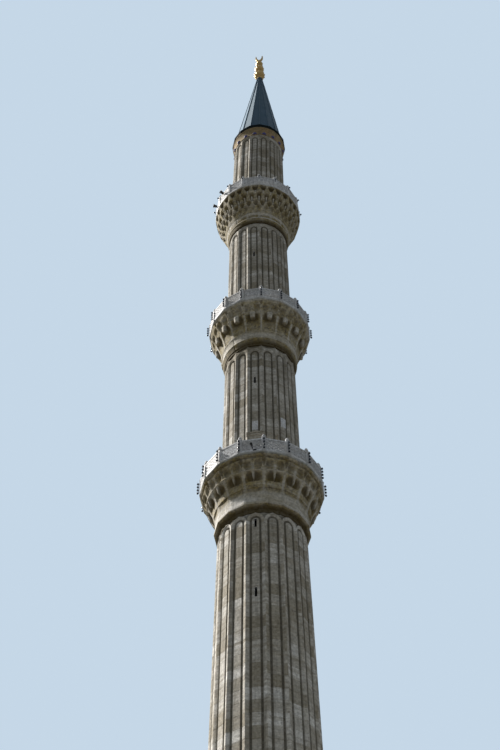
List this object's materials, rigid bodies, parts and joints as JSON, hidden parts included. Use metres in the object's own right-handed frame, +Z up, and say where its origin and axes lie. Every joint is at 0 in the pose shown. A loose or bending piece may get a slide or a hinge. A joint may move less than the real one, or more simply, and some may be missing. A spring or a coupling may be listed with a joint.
{
  "type": "1:2 scale model of a fluted stone minaret",
  "caption": "Tall fluted stone minaret on a square pedestal, with corbelled balconies, pierced marble parapets, a lead cone and a gilt finial. Scale model at 1:2.",
  "frame": {"origin": "middle of the plinth's underside, on the ground", "axes": "+Z up the tower's axis, -Y towards the side that the doors face"},
  "size_m": [2.7, 2.7, 35.45],
  "materials": {
    "limestone": "weathered pale limestone ashlar with fine joints",
    "carved_stone": "carved limestone with lichen and soot in the hollows",
    "marble": "weathered pale blue-grey marble",
    "ochre_plaster": "ochre painted plaster",
    "lead_sheet": "dark blue-grey lead sheet with standing seams",
    "gilt_copper": "gilt copper",
    "timber": "dark weathered planks",
    "black_paint": "black paint",
    "glazed_tile": "blue glazed tile",
    "lamp_glass": "dark lamp bulbs"
  },
  "bodies": {
    "root": {"plinth": "limestone", "pedestal_left": "limestone", "pedestal_right": "limestone", "pedestal_back": "limestone", "pedestal_front_left": "limestone", "pedestal_front_right": "limestone", "pedestal_over_door": "limestone", "pedestal_cornice": "limestone", "transition": "limestone", "shaft_1_lower": "limestone", "shaft_1_upper": "limestone", "shaft_2": "limestone", "shaft_3": "limestone", "shaft_4": "limestone", "ring_moulding": "carved_stone", "collar_1": "carved_stone", "corbel_1_lower": "carved_stone", "corbel_1_upper": "carved_stone", "collar_2": "carved_stone", "corbel_2_lower": "carved_stone", "corbel_2_upper": "carved_stone", "collar_3": "carved_stone", "corbel_3_lower": "carved_stone", "corbel_3_upper": "carved_stone", "parapet_1": "marble", "balcony_1_floor": "marble", "parapet_2": "marble", "balcony_2_floor": "marble", "parapet_3": "marble", "balcony_3_floor": "marble", "balcony_door_frame_1": "limestone", "balcony_door_frame_2": "limestone", "balcony_door_frame_3": "limestone", "eave_cornice": "ochre_plaster", "cone": "lead_sheet", "finial_lower_bulb": "gilt_copper", "finial_middle_bulb": "gilt_copper", "finial_upper_bulb": "gilt_copper", "finial_crescent": "gilt_copper", "ground_door": "timber", "balcony_door_1": "timber", "balcony_door_2": "timber", "balcony_door_3": "timber", "loudspeaker_1": "black_paint", "loudspeaker_2": "black_paint"}
  },
  "joints": []
}
